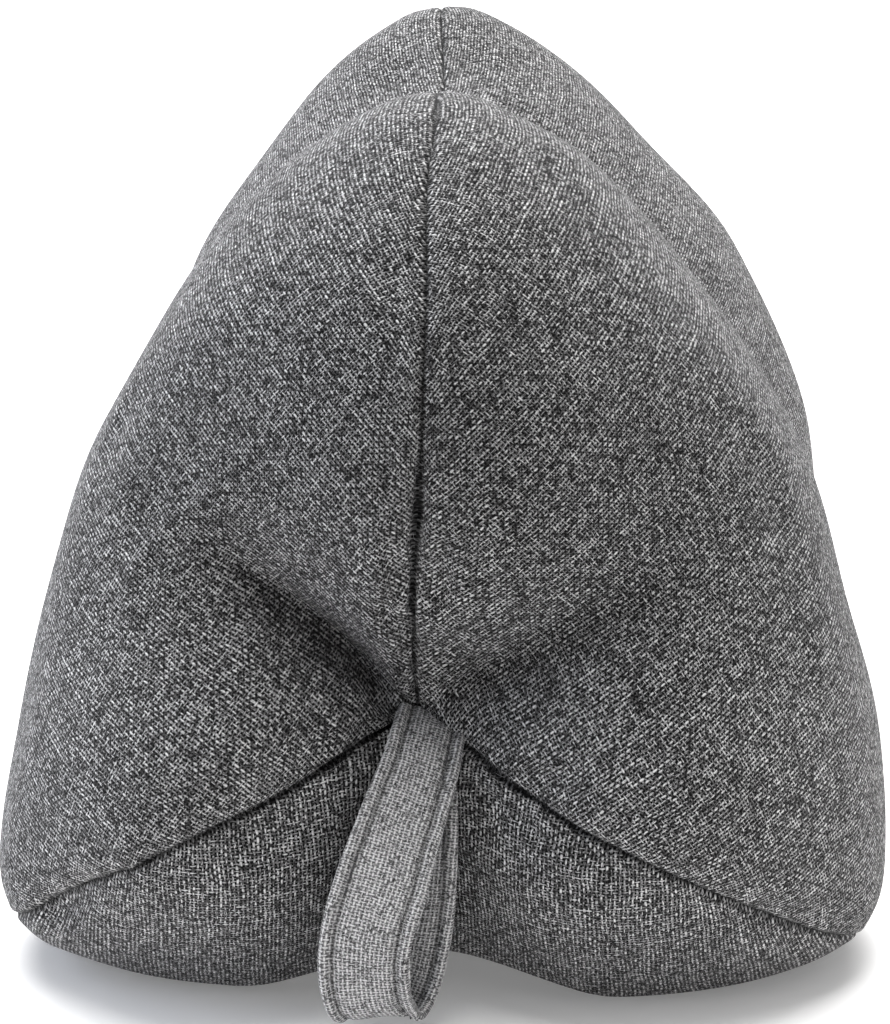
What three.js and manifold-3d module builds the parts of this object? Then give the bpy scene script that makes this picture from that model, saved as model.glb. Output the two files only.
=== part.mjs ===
// A bone-shaped neck pillow: three bone-shaped cloth panels, sewn edge to edge over a firm filling,
// with a folded tape loop caught in the seams where they meet at one end.
//
// Millimetres, +Z up. The pillow lies along Y on its base panel, the loop is at its -Y end, and z = 0 is
// the surface under it. Each end swells into three lobes. A seam runs along the ridge of each lobe, and a
// crease parts the lobes along the middle of each panel, in to the point where the three seams meet.
import * as THREE from 'three';
import { mergeVertices } from 'three/addons/utils/BufferGeometryUtils.js';
import Module from 'manifold-3d';

// Driving dimensions of the pillow
const SEAM_RADIUS = 95.5; // from the middle line to a seam, at the fattest section
const WAIST_RADIUS = 62; // the same at the waist, where the neck lies
const FAT_AT = 97.5; // the fattest sections lie this far from the middle of the pillow
const LOBE_TIP = 61; // the lobes reach this far beyond the fattest section
const MEETING_POINT = 40; // the seams meet this far beyond it, in the dimple between the lobes
const MIDDLE_HEIGHT = 62.5; // of the middle line over the surface
const TALLNESS = 1.052; // the firm filling stands the section up a little
const FLOOR_ROUNDING = 3; // how softly the cloth turns up where it leaves the surface

// One half of the pillow from the waist to the end. A row is one section.
// along: from the middle of the pillow. seam: from the middle line to a seam.
// crown: how far the panel's middle stands from the middle line, as a share of seam.
// notch: how far the panel's middle sits back from the seam, which makes the crease between two lobes.
const SECTIONS = [
  { along: 0, seam: WAIST_RADIUS, crown: 0.82, notch: 0 },
  { along: FAT_AT * 0.36, seam: WAIST_RADIUS * 1.045, crown: 0.815, notch: 0 },
  { along: FAT_AT * 0.7, seam: SEAM_RADIUS * 0.865, crown: 0.785, notch: 0 },
  { along: FAT_AT, seam: SEAM_RADIUS, crown: 0.731, notch: 0 },
  { along: FAT_AT + LOBE_TIP * 0.52, seam: SEAM_RADIUS * 0.934, crown: 0.731, notch: 3 },
  { along: FAT_AT + LOBE_TIP * 0.855, seam: SEAM_RADIUS * 0.727, crown: 0.735, notch: 9 },
  { along: FAT_AT + LOBE_TIP, seam: SEAM_RADIUS * 0.49, crown: 0.72, notch: 14 },
  { along: FAT_AT + LOBE_TIP * 0.885, seam: SEAM_RADIUS * 0.23, crown: 0.7, notch: 10 },
  { along: FAT_AT + MEETING_POINT, seam: 0, crown: 0.7, notch: 0 },
];

// The seams, by the angle at which each ridge stands round the middle line, from +X towards +Z, and the
// panel that follows each seam. nearBow bends the seam on the face of the end with the loop, in degrees.
// nearCrease and farCrease deepen or soften the panel's crease at the two ends.
const PANELS = [
  { name: 'left', seamAngle: 91.5, nearBow: 0, crown: 1.05, nearCrease: 1.35, farCrease: 1 },
  { name: 'base', seamAngle: 212, nearBow: -4, crown: 1.023, nearCrease: 1.05, farCrease: 1 },
  { name: 'right', seamAngle: 326, nearBow: 1.5, crown: 1.055, nearCrease: 0.75, farCrease: 1 },
];

// How far the filling swells each end out or lets it sink, in percent, every 30 degrees from +X to +Z.
const SWELLING = [
  { angle: 0, near: -1.5, far: 3 },
  { angle: 30, near: 0.5, far: 2.5 },
  { angle: 60, near: 2, far: -2 },
  { angle: 90, near: 1, far: -0.5 },
  { angle: 120, near: 2, far: 1.5 },
  { angle: 150, near: 0.5, far: 3.5 },
  { angle: 180, near: -2, far: 0 },
  { angle: 210, near: 2, far: 0 },
  { angle: 240, near: -1, far: 0 },
  { angle: 270, near: 0, far: 0 },
  { angle: 300, near: -0.5, far: 0 },
  { angle: 330, near: 1, far: 0 },
];

// Unevenness of the stuffed cloth
const NEAR_TWIST = -0.9; // degrees, the end with the loop
const FAR_TWIST = 3.5; // degrees, the other end
const MEETING_POINT_DROP = new THREE.Vector2(-4.2, -5.5); // the loop's end pulls the seams off centre
const DROP_REACH = 0.45; // as a share of the seam radius
const RIDGE_ROUNDING = 0.29; // 0 is a sharp ridge at each seam, 1 a fully rounded one
const CREASE_SHARPNESS = 1.4; // 1 is a V, 2 a soft trough
const ARCH_HEIGHT = 7.5; // the base panel's crease lifts off the surface under each end
const ARCH_WIDTH = 0.55; // as a share of the panel's half width
const ARCH_START = 102; // it starts this far from the middle of the pillow
const ARCH_FADE = 40; // it has died away at this height
const SEAM_DEPTH = 1.3; // the cloth turns in by this much along each seam

// Mesh steps
const HALF_PANEL_COLUMNS = 10;
const COLUMNS = HALF_PANEL_COLUMNS * 2 * PANELS.length;
const RINGS = 58;
const COLUMN_CROWDING = 1.5; // columns crowd towards the seams

// The tape loop
const TAPE_WIDTH = 16.5;
const TAPE_THICKNESS = 2.2; // four layers of the cover's cloth
const ROOT_WIDTH = 12.8; // it is gathered where it enters the seam
const GATHER_LENGTH = 42; // and has its full width this far along
const STITCH_LINE = 2.5; // the topstitching's distance from the tape's edge
const STITCH_DEPTH = 0.25; // it draws the tape's faces in by this much
const TAPE_STEPS = 64;
const TAPE_CLEARANCE = 0.35; // between the tape and the pillow that it is sewn into

// The loop's route, down its front layer, round the fold and up its back layer. A row is a point on the
// tape's middle line. lean is the tilt of the tape's width in the picture plane, and turn is how far its
// right edge goes back, both in degrees.
const LOOP_ROUTE = [
  { x: -0.8, y: -133.5, z: 55, lean: -20, turn: 0 },
  { x: -1.2, y: -139.6, z: 54.4, lean: -20, turn: 0 },
  { x: -1.9, y: -144.6, z: 52.2, lean: -20, turn: 0 },
  { x: -3.1, y: -148.8, z: 48.2, lean: -19, turn: -2 },
  { x: -5, y: -153, z: 43.4, lean: -20, turn: -1 },
  { x: -7.6, y: -157.4, z: 36.4, lean: -19, turn: -3 },
  { x: -10, y: -160.8, z: 29, lean: -17, turn: -5 },
  { x: -11.6, y: -162.5, z: 24.2, lean: -13, turn: -6 },
  { x: -12.6, y: -163.2, z: 18.6, lean: -7, turn: -6 },
  { x: -12.6, y: -162.6, z: 12.2, lean: 0, turn: -6 },
  { x: -11.7, y: -160.6, z: 7.6, lean: 5, turn: -5 },
  { x: -10.2, y: -157.2, z: 5.6, lean: 6, turn: -4 },
  { x: -8.6, y: -153.9, z: 8.2, lean: 0, turn: -2 },
  { x: -6.7, y: -152.2, z: 14, lean: -9, turn: 2 },
  { x: -5.2, y: -152.1, z: 22, lean: -8, turn: 5 },
  { x: -4.3, y: -151.9, z: 28.6, lean: -7, turn: 8 },
  { x: -3.8, y: -150.9, z: 35.4, lean: -8, turn: 9 },
  { x: -3.3, y: -148.1, z: 42, lean: -12, turn: 7 },
  { x: -2.8, y: -144, z: 47.6, lean: -18, turn: 3 },
  { x: -2.2, y: -138.8, z: 50.9, lean: -20, turn: 0 },
  { x: -1.8, y: -133.5, z: 51.6, lean: -20, turn: 0 },
];

const CLOTH = { color: 0x626366, roughness: 0.92, metalness: 0 };
const TAPE_CLOTH = { color: 0x77787b, roughness: 0.92, metalness: 0 };

const wasm = await Module();
wasm.setup();

// The half table mirrored about the waist, from the end with the loop (-Y) to the other.
const otherHalf = SECTIONS.slice(1);
const WHOLE = [...SECTIONS.toReversed().map((row) => ({ ...row, along: -row.along })), ...otherHalf];
const seamLine = new THREE.SplineCurve(WHOLE.map((row) => new THREE.Vector2(row.seam, row.along)));
const crownLine = new THREE.SplineCurve(WHOLE.map((row) => new THREE.Vector2(row.crown, row.notch)));

// The panel that a column lies on, and where it lies there: side is -1 at the panel's first seam, 0 along
// its middle and 1 at its second seam.
function panelPlace(column) {
  const index = Math.floor(column / (2 * HALF_PANEL_COLUMNS)) % PANELS.length;
  const step = (column % (2 * HALF_PANEL_COLUMNS)) / HALF_PANEL_COLUMNS - 1;
  const side = Math.sign(step) * (1 - (1 - Math.abs(step)) ** COLUMN_CROWDING);
  return { panel: PANELS[index], next: PANELS[(index + 1) % PANELS.length], side };
}

// The angle round the middle line, in degrees, at a place on a panel. bow is how much of each seam's bow
// there is.
function angleAt({ panel, next, side }, bow) {
  const turn = next.seamAngle > panel.seamAngle ? 0 : 360;
  const first = panel.seamAngle + panel.nearBow * bow;
  const second = next.seamAngle + turn + next.nearBow * bow;
  return (first + second) / 2 + (side * (second - first)) / 2;
}

// The factor by which an end is swollen at an angle round the middle line, in degrees.
function swelling(angle, end) {
  const row = THREE.MathUtils.euclideanModulo(angle, 360) / (360 / SWELLING.length);
  const before = SWELLING[Math.floor(row)];
  const after = SWELLING[(Math.floor(row) + 1) % SWELLING.length];
  const share = Math.sin((Math.PI / 2) * (row % 1)) ** 2;
  return 1 + THREE.MathUtils.lerp(before[end], after[end], share) / 100;
}

// How far the arch under an end lifts the base panel, at a place on it and at a height before pressing.
function archLift({ panel, side }, y, height) {
  if (panel.name !== 'base') return 0;
  const across = Math.max(0, 1 - (side / ARCH_WIDTH) ** 2) ** 2;
  const lengthwise = THREE.MathUtils.smoothstep(Math.abs(y), ARCH_START, FAT_AT + LOBE_TIP * 0.55);
  return ARCH_HEIGHT * across * lengthwise * (1 - THREE.MathUtils.smoothstep(height, 0, ARCH_FADE));
}

// How much of the way from the panel's middle out to its seam the section has gone, from 0 to 1.
function ridgeShare(side) {
  const sharp = Math.abs(side) ** 2.06;
  const rounded = Math.sin((Math.PI / 2) * Math.abs(side)) ** 2.9;
  return (1 - RIDGE_ROUNDING) * sharp + RIDGE_ROUNDING * rounded;
}

// A height pressed against the surface: flat below it, and softly rounded where it leaves it.
function pressed(height) {
  if (height <= -FLOOR_ROUNDING) return 0;
  if (height >= FLOOR_ROUNDING) return height;
  return (height + FLOOR_ROUNDING) ** 2 / (4 * FLOOR_ROUNDING);
}

// The point of the pillow's surface at a place on a panel, a share of the way along the seam line.
function pillowPoint(place, share) {
  const t = seamLine.getUtoTmapping(share);
  const { x: seam, y: along } = seamLine.getPoint(t);
  const { x: crown, y: notch } = crownLine.getPoint(t);
  const { panel, side } = place;
  const crease = along < 0 ? panel.nearCrease : panel.farCrease;
  const middle = seam * crown * panel.crown;
  let out = middle + (seam - middle) * ridgeShare(side);
  const unnotched = Math.sin((Math.PI / 2) * Math.abs(side)) ** CREASE_SHARPNESS;
  let y = along - Math.sign(along) * notch * crease * (1 - unnotched);
  if (Math.abs(side) === 1) {
    const heading = seamLine.getTangent(t);
    const depth = SEAM_DEPTH * Math.min(1, seam / 10);
    out -= depth * heading.y;
    y += depth * heading.x;
  }

  const end = THREE.MathUtils.clamp((y / (FAT_AT + LOBE_TIP) + 1) / 2, 0, 1);
  const bow = along < 0 ? Math.sin((Math.PI * seam) / SEAM_RADIUS) : 0;
  const degrees = angleAt(place, bow) + THREE.MathUtils.lerp(NEAR_TWIST, FAR_TWIST, end);
  const angle = THREE.MathUtils.degToRad(degrees);
  const swollen = THREE.MathUtils.smoothstep(Math.abs(along), 0, FAT_AT);
  out *= THREE.MathUtils.lerp(1, swelling(degrees, along < 0 ? 'near' : 'far'), swollen);
  const drop = along < 0 ? Math.exp(-((seam / SEAM_RADIUS / DROP_REACH) ** 2)) : 0;
  const height = MIDDLE_HEIGHT + TALLNESS * out * Math.sin(angle) + MEETING_POINT_DROP.y * drop;
  return new THREE.Vector3(
    out * Math.cos(angle) + MEETING_POINT_DROP.x * drop,
    y,
    pressed(height) + archLift(place, y, height),
  );
}

// A geometry with only its positions, its shared points merged.
function closed(geometry) {
  geometry.deleteAttribute('normal');
  geometry.deleteAttribute('uv');
  return mergeVertices(geometry);
}

// Moves every point of a geometry to where place(point) says.
function reshape(geometry, place) {
  const positions = geometry.getAttribute('position');
  const point = new THREE.Vector3();
  for (let i = 0; i < positions.count; i += 1) {
    point.fromBufferAttribute(positions, i);
    positions.setXYZ(i, ...place(point).toArray());
  }
  return geometry;
}

function toSolid(geometry) {
  const vertProperties = new Float32Array(geometry.getAttribute('position').array);
  const triVerts = new Uint32Array(geometry.index.array);
  return new wasm.Manifold(new wasm.Mesh({ numProp: 3, vertProperties, triVerts }));
}

function toGeometry(solid) {
  const mesh = solid.getMesh();
  const geometry = new THREE.BufferGeometry();
  geometry.setAttribute('position', new THREE.BufferAttribute(mesh.vertProperties, mesh.numProp));
  geometry.setIndex(new THREE.BufferAttribute(mesh.triVerts, 1));
  return geometry;
}

// The filled pillow: a globe whose poles are the two points where the seams meet, blown up to the form.
function pillowForm() {
  const globe = closed(new THREE.SphereGeometry(1, COLUMNS, RINGS));
  return reshape(globe, ({ x, y, z }) => {
    const turn = Math.atan2(z, x) / (2 * Math.PI);
    const column = (Math.round(turn * COLUMNS) + COLUMNS) % COLUMNS;
    return pillowPoint(panelPlace(column), 1 - Math.acos(THREE.MathUtils.clamp(y, -1, 1)) / Math.PI);
  });
}

// The tape's frame a share of the way along its route: its middle, and the directions of its width and
// of its thickness.
const route = new THREE.CatmullRomCurve3(LOOP_ROUTE.map(({ x, y, z }) => new THREE.Vector3(x, y, z)));
const attitude = new THREE.SplineCurve(LOOP_ROUTE.map(({ lean, turn }) => new THREE.Vector2(lean, turn)));

function tapeFrame(share) {
  const t = route.getUtoTmapping(share);
  const { x: lean, y: turn } = attitude.getPoint(t);
  const tilt = THREE.MathUtils.degToRad(lean);
  const yaw = THREE.MathUtils.degToRad(turn);
  const heading = route.getTangent(t);
  const width = new THREE.Vector3(Math.cos(tilt) * Math.cos(yaw), Math.sin(yaw), Math.sin(tilt));
  width.addScaledVector(heading, -width.dot(heading)).normalize();
  const thickness = new THREE.Vector3().crossVectors(heading, width);
  return { middle: route.getPoint(t), width, thickness, heading };
}

// A stretch of the folded tape, bent along its route from one share of its length to another, and grown
// all round by some clearance. Its edges are rounded and its two lines of topstitching drawn in.
function tapeForm(from = 0, to = 1, grown = 0) {
  const length = route.getLength();
  const steps = Math.round(TAPE_STEPS * (to - from));
  const stitchAt = 1 - STITCH_LINE / (TAPE_WIDTH / 2);
  const stops = [-1, -0.94, -stitchAt, -0.4, 0, 0.4, stitchAt, 0.94, 1]; // shares of the half width
  const strip = closed(new THREE.BoxGeometry(2, 2, 1, stops.length - 1, 1, steps));
  return reshape(strip, (point) => {
    const share = THREE.MathUtils.lerp(from, to, point.z + 0.5);
    const { middle, width, thickness, heading } = tapeFrame(share);
    const stop = stops[Math.round(((point.x + 1) / 2) * (stops.length - 1))];
    const gather = THREE.MathUtils.smoothstep(Math.min(share, 1 - share) * length, 0, GATHER_LENGTH);
    const halfWidth = THREE.MathUtils.lerp(ROOT_WIDTH, TAPE_WIDTH, gather) / 2 + grown;
    let halfThickness = TAPE_THICKNESS / 2;
    if (Math.abs(stop) === 1) halfThickness *= 0.5;
    if (Math.abs(stop) === stitchAt) halfThickness -= STITCH_DEPTH;
    middle.addScaledVector(width, stop * halfWidth);
    middle.addScaledVector(thickness, point.y * (halfThickness + grown));
    if (Math.abs(point.z) === 0.5) middle.addScaledVector(heading, 2 * point.z * grown);
    return middle;
  });
}

function named(name, geometry, finish) {
  const mesh = new THREE.Mesh(geometry, new THREE.MeshStandardMaterial(finish));
  mesh.name = name;
  return mesh;
}

const pillow = new THREE.Group();
const roomForTape = [tapeForm(0, 0.5, TAPE_CLEARANCE), tapeForm(0.5, 1, TAPE_CLEARANCE)];
const filled = roomForTape.reduce((solid, room) => solid.subtract(toSolid(room)), toSolid(pillowForm()));
pillow.add(named('pillow_body', toGeometry(filled), CLOTH));
pillow.add(named('hang_loop', tapeForm(), TAPE_CLOTH));

// The frame's origin is on the surface, under the middle of the whole object.
const extent = new THREE.Box3().setFromObject(pillow, true);
const centre = extent.getCenter(new THREE.Vector3());
pillow.position.set(-centre.x, -centre.y, -extent.min.z);
pillow.updateMatrixWorld(true);

export default pillow;
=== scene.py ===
"""A bone-shaped neck pillow of melange cloth: three panels sewn over a firm filling, and a hanging loop.

Metres, +Z up. The pillow lies along Y on its base panel, and the loop is at its -Y end. Sizes in the
classes are in millimetres, because that is how a maker cuts cloth, and meshes are made in metres.
"""

import logging
import math
from dataclasses import dataclass, field
from enum import Enum

import bpy
import numpy as np
from mathutils import Matrix, Vector


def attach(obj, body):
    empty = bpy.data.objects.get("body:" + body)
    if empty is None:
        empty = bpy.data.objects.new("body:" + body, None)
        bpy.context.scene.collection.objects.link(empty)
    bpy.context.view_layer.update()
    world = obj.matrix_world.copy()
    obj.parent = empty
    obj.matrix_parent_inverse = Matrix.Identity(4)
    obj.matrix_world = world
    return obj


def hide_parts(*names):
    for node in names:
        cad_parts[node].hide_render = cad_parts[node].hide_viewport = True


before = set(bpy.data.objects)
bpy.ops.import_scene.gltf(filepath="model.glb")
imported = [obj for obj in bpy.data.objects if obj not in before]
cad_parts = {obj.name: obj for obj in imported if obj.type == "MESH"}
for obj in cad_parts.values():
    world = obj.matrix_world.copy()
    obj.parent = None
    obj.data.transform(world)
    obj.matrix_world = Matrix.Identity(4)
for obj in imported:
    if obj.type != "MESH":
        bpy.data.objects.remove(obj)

MM = 0.001
CENTRING = np.array([-0.293, 3.316, 0.0])  # mm: the form's middle line lies this far from the frame's origin

log = logging.getLogger("neck_pillow")


class Yarn(Enum):
    """The two sets of threads in the weave."""

    WARP = 0
    WEFT = 1


def srgb(code: str, alpha: float = 1.0) -> tuple[float, float, float, float]:
    """Turns an sRGB hex colour to linear.

    Args:
        code: The colour, such as "#8A8A8C".
        alpha: The colour's opacity.

    Returns:
        The linear red, green, blue and alpha.
    """
    parts = [int(code[i : i + 2], 16) / 255 for i in (1, 3, 5)]
    linear = [c / 12.92 if c <= 0.04045 else ((c + 0.055) / 1.055) ** 2.4 for c in parts]
    return (*linear, alpha)


def spline(points: np.ndarray, t: np.ndarray) -> np.ndarray:
    """Runs a smooth curve through evenly spaced rows of values.

    Args:
        points: The rows, of any number of columns.
        t: Places along the curve, from 0 at the first row to 1 at the last.

    Returns:
        One row of values for each place.
    """
    last = len(points) - 1
    x = np.clip(t, 0, 1) * last
    i = np.minimum(np.floor(x).astype(int), last - 1)
    w = (x - i)[:, None]
    p0, p1, p2, p3 = (points[np.clip(i + k, 0, last)] for k in (-1, 0, 1, 2))
    v0, v1 = (p2 - p0) / 2, (p3 - p1) / 2
    return (2 * p1 - 2 * p2 + v0 + v1) * w**3 + (-3 * p1 + 3 * p2 - 2 * v0 - v1) * w**2 + v0 * w + p1


def smoothstep(x: np.ndarray, low: float, high: float) -> np.ndarray:
    """Rises smoothly from 0 at low to 1 at high."""
    t = np.clip((x - low) / (high - low), 0, 1)
    return t * t * (3 - 2 * t)


def ripple(x: np.ndarray, y: np.ndarray, seed: float) -> np.ndarray:
    """Smooth unevenness from a few crossing waves.

    Args:
        x: First coordinate, in wavelengths.
        y: Second coordinate, in wavelengths.
        seed: Shifts the waves, so that two uses differ.

    Returns:
        Values between about -1 and 1.
    """
    total = np.zeros(np.broadcast(x, y).shape)
    for k in range(1, 8):
        angle = 2.4 * k + seed
        wave = 2 * math.pi * (0.55 + 0.13 * k)
        total += np.sin(wave * (x * math.cos(angle) + y * math.sin(angle)) + 1.7 * k * seed + k * k)
    return total / 3.2


def unit(vectors: np.ndarray) -> np.ndarray:
    """Scales vectors to length 1."""
    return vectors / np.maximum(np.linalg.norm(vectors, axis=-1, keepdims=True), 1e-9)


def make_mesh(
    name: str, points: np.ndarray, faces: list, uv: np.ndarray | None = None, light: np.ndarray | None = None
) -> bpy.types.Object:
    """Makes a smooth-shaded mesh object at the origin.

    Args:
        name: The object's name.
        points: Its vertices in millimetres.
        faces: Its faces, as lists of vertex numbers.
        uv: A row for each face corner, in millimetres of flat cloth, or nothing.
        light: For each vertex, how much light gets in between the fibres there, from 0 in a tight tuck to 1.

    Returns:
        The new object.
    """
    mesh = bpy.data.meshes.new(name)
    mesh.from_pydata((points * MM).tolist(), [], faces)
    if uv is not None:
        mesh.uv_layers.new(name="weave").data.foreach_set("uv", uv.astype(np.float32).ravel())
    if light is not None:
        mesh.attributes.new("light", "FLOAT", "POINT").data.foreach_set("value", light.astype(np.float32))
    mesh.polygons.foreach_set("use_smooth", [True] * len(mesh.polygons))
    mesh.update()
    piece = bpy.data.objects.new(name, mesh)
    bpy.context.collection.objects.link(piece)
    return piece


def add_node(tree: bpy.types.NodeTree, kind: str, *inputs: object, **settings: object) -> bpy.types.Node:
    """Adds a node to a tree, with its settings, its values and its links.

    Args:
        tree: The tree.
        kind: The node's type, such as "ShaderNodeMath".
        inputs: For each input socket in turn, a value, a node or socket to link from, or None to leave it.
        settings: The node's own properties. A key such as in_Roughness sets the input of that name.

    Returns:
        The new node.
    """
    node = tree.nodes.new(kind)
    named = {k[3:].replace("_", " "): settings.pop(k) for k in list(settings) if k.startswith("in_")}
    for key, value in settings.items():
        setattr(node, key, value)
    sockets = [*zip(node.inputs, inputs), *((node.inputs[k], v) for k, v in named.items())]
    for socket, value in sockets:
        if value is None:
            continue
        if isinstance(value, bpy.types.Node):
            value = value.outputs[0]
        if isinstance(value, bpy.types.NodeSocket):
            tree.links.new(value, socket)
        else:
            socket.default_value = value
    return node


def new_material(name: str) -> tuple[bpy.types.Material, bpy.types.NodeTree]:
    """Makes a material with nothing in it.

    Args:
        name: The material's name.

    Returns:
        The material and its empty tree.
    """
    made = bpy.data.materials.new(name)
    made.use_nodes = True
    made.node_tree.nodes.clear()
    return made, made.node_tree


def new_geometry_tree(name: str, inputs: tuple[str, ...]) -> tuple[bpy.types.NodeTree, bpy.types.Node]:
    """Makes a Geometry Nodes tree that takes a mesh and some sizes, and gives back a mesh.

    Args:
        name: The tree's name.
        inputs: The names of its sizes.

    Returns:
        The tree, and its node that gives the mesh and the sizes.
    """
    tree = bpy.data.node_groups.new(name, "GeometryNodeTree")
    tree.interface.new_socket("Geometry", in_out="INPUT", socket_type="NodeSocketGeometry")
    for size in inputs:
        tree.interface.new_socket(size, in_out="INPUT", socket_type="NodeSocketFloat")
    tree.interface.new_socket("Geometry", in_out="OUTPUT", socket_type="NodeSocketGeometry")
    return tree, add_node(tree, "NodeGroupInput")


@dataclass(frozen=True)
class WovenCloth:
    """Plain-woven melange upholstery polyester, such as a linen look: charcoal and light grey staple yarns.

    It gives the eye a fine salt-and-pepper grid of thin threads that run light and dark along their length,
    dark gaps where they dive under each other, and a soft bloom at grazing angles.
    """

    name: str
    weft_pitch: float = 0.65  # mm between the crosswise threads, so measured along U
    warp_pitch: float = 0.77  # mm between the lengthwise threads, so measured along V
    light: str = "#E0DFDF"
    middle: str = "#605F5F"
    dark: str = "#090808"
    warp_tone: float = 0.58  # where the lengthwise threads' tones lie from dark, 0, to light, 1
    weft_tone: float = 0.46  # the same for the crosswise threads
    tone_spread: float = 1.9  # how far a thread's tone runs up and down along it
    fleck: float = 0.2  # how far one crossing's tone may be off its neighbours'
    fibre: float = 2.6  # how strongly single fibres show within a thread
    fibre_slimness: float = 6.5  # how much longer than wide a fibre's streak is
    slub: float = 0.5  # how much lighter a thread is where it is thick
    cloudiness: float = 0.035  # how far the tone drifts over some centimetres
    streak: float = 2.2  # mm: a thread keeps its tone for about this long
    gap_shade: float = 0.0  # how much light is left in the gaps
    wander: float = 0.65  # mm that threads stray from their straight course
    roughness: float = 0.92
    warp_crown: float = 1.15  # how much higher the lengthwise threads stand than the crosswise ones
    thinness: float = 2.0  # a power: the higher it is, the thinner a thread and the wider the gaps
    float_length: float = 0.45  # a power: the lower it is, the longer a thread stays up before it dives
    relief: float = 0.2  # mm that the threads stand proud

    def material(self) -> bpy.types.Material:
        """Builds the cloth's material on the piece's own UV map, which is in millimetres of flat cloth.

        Returns:
            The material.
        """
        made, tree = new_material(self.name)
        flat = add_node(tree, "ShaderNodeUVMap", uv_map="weave")
        wander = add_node(
            tree, "ShaderNodeTexNoise", in_Vector=flat, in_Scale=0.14, in_Detail=3.0, in_Roughness=0.62
        )
        shift = add_node(
            tree, "ShaderNodeVectorMath", wander.outputs["Color"], (0.5, 0.5, 0.5), operation="SUBTRACT"
        )
        reach = (2 * self.wander, 2 * self.wander, 0.0)
        shift = add_node(tree, "ShaderNodeVectorMath", shift, reach, operation="MULTIPLY")
        laid = add_node(tree, "ShaderNodeVectorMath", flat, shift, operation="ADD")
        per_mm = (1 / self.weft_pitch, 1 / self.warp_pitch, 1.0)
        counted = add_node(tree, "ShaderNodeVectorMath", laid, per_mm, operation="MULTIPLY")
        cell = add_node(tree, "ShaderNodeVectorMath", counted, operation="FLOOR")
        place = add_node(tree, "ShaderNodeSeparateXYZ", laid)
        run = add_node(tree, "ShaderNodeSeparateXYZ", counted)
        count = add_node(tree, "ShaderNodeSeparateXYZ", cell)
        warp = self.thread_height(tree, run.outputs["X"], run.outputs["Y"], count.outputs["Y"], 0.0)
        weft = self.thread_height(tree, run.outputs["Y"], run.outputs["X"], count.outputs["X"], 1.0)
        # The lengthwise threads are held a little less tight, so they stand higher and show for longer.
        warp = add_node(tree, "ShaderNodeMath", warp, self.warp_crown, operation="MULTIPLY")
        over = add_node(tree, "ShaderNodeMath", weft, warp, operation="GREATER_THAN")
        height = add_node(tree, "ShaderNodeMath", weft, warp, operation="MAXIMUM")
        tones = [
            self.thread_tone(tree, Yarn.WARP, place.outputs["X"], place.outputs["Y"], count.outputs["Y"]),
            self.thread_tone(tree, Yarn.WEFT, place.outputs["Y"], place.outputs["X"], count.outputs["X"]),
        ]
        tone = add_node(tree, "ShaderNodeMix", over, data_type="FLOAT")
        tree.links.new(tones[0].outputs[0], tone.inputs["A"])
        tree.links.new(tones[1].outputs[0], tone.inputs["B"])

        # Single fibres catch the light here and there, so no two crossings are quite alike.
        fleck = add_node(tree, "ShaderNodeTexWhiteNoise", cell, noise_dimensions="2D")
        fleck = add_node(
            tree, "ShaderNodeMapRange", fleck.outputs["Value"], 0.0, 1.0, -self.fleck, self.fleck
        )
        tone = add_node(tree, "ShaderNodeMath", tone, fleck, operation="ADD", use_clamp=True)
        # Broad, faint cloudiness from the dyeing.
        cloud = add_node(tree, "ShaderNodeTexNoise", in_Vector=flat, in_Scale=0.035, in_Detail=3.0)
        cloud = add_node(
            tree, "ShaderNodeMapRange", cloud.outputs[0], 0.3, 0.7, -self.cloudiness, self.cloudiness
        )
        tone = add_node(tree, "ShaderNodeMath", tone, cloud, operation="ADD", use_clamp=True)

        ramp = add_node(tree, "ShaderNodeValToRGB", tone)
        ramp.color_ramp.elements[0].color = srgb(self.dark)
        ramp.color_ramp.elements[1].color = srgb(self.light)
        ramp.color_ramp.elements.new(0.5).color = srgb(self.middle)
        shade = add_node(tree, "ShaderNodeMapRange", height.outputs[0], 0.25, 0.85, self.gap_shade, 1.0)
        light = add_node(tree, "ShaderNodeAttribute", attribute_name="light")
        shade = add_node(tree, "ShaderNodeMath", shade, light.outputs["Fac"], operation="MULTIPLY")
        colour = add_node(tree, "ShaderNodeVectorMath", ramp, shade, operation="MULTIPLY")

        bump = add_node(
            tree, "ShaderNodeBump", in_Strength=0.9, in_Distance=self.relief * MM, in_Height=height.outputs[0]
        )
        cloth = add_node(
            tree,
            "ShaderNodeBsdfPrincipled",
            in_Base_Color=colour,
            in_Normal=bump,
            in_Roughness=self.roughness,
        )
        cloth.inputs["Specular IOR Level"].default_value = 0.12
        cloth.inputs["Sheen Weight"].default_value = 0.1
        cloth.inputs["Sheen Roughness"].default_value = 0.45
        cloth.inputs["Sheen Tint"].default_value = srgb("#D8D8DC")
        add_node(tree, "ShaderNodeOutputMaterial", cloth)
        return made

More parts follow.
